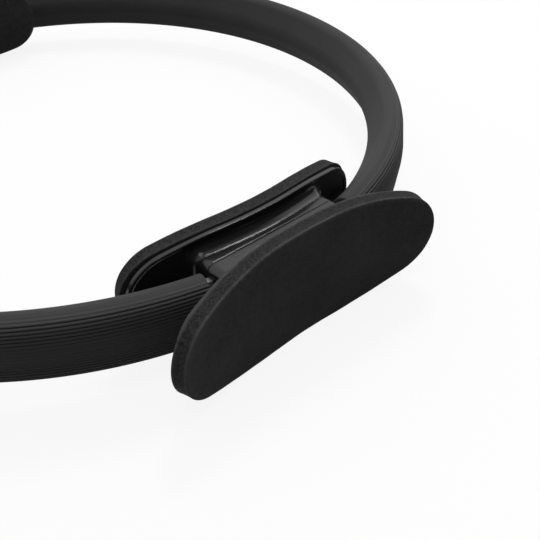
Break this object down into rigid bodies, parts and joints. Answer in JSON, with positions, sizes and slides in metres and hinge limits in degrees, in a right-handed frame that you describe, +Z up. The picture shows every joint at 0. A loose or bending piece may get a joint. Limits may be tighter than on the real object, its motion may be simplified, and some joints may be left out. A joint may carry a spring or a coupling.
{
  "type": "pilates ring",
  "caption": "Springy sleeved hoop for pilates with padded handles on opposite sides, squeezed or pulled between hands, knees or ankles.",
  "frame": {"origin": "on the floor under the hoop's centre, with the ring lying flat on the straight lower edges of its outer pads", "axes": "+X through the right handle, +Y towards the back of the hoop, +Z up along the hoop's axis"},
  "size_m": [0.411, 0.3774, 0.0556],
  "materials": {
    "spring_strip": "satin",
    "sleeve_foam": "matte",
    "pad_foam": "matte",
    "handle_shell": "gloss",
    "screw_steel": "satin"
  },
  "bodies": {
    "hoop": {"back_core": "spring_strip", "front_core": "spring_strip", "back_sleeve": "sleeve_foam", "front_sleeve": "sleeve_foam"},
    "right_handle": {"right_outer_shell": "handle_shell", "right_inner_shell": "handle_shell", "right_outer_pad": "pad_foam", "right_inner_pad": "pad_foam", "right_screws": "screw_steel"},
    "left_handle": {"left_outer_shell": "handle_shell", "left_inner_shell": "handle_shell", "left_outer_pad": "pad_foam", "left_inner_pad": "pad_foam", "left_screws": "screw_steel"}
  },
  "joints": [
    {"name": "right_squeeze", "type": "slide", "parent": "hoop", "child": "right_handle", "axis": [-1, 0, 0], "range_m": [-0.01, 0.035], "stiffness_N_per_m": 2660, "deforming": ["back_core", "front_core", "back_sleeve", "front_sleeve"]},
    {"name": "left_squeeze", "type": "slide", "parent": "hoop", "child": "left_handle", "axis": [1, 0, 0], "range_m": [-0.01, 0.035], "stiffness_N_per_m": 2660}
  ],
  "couplings": [
    {"joint": "left_squeeze", "follows": "right_squeeze", "ratio": 1}
  ]
}
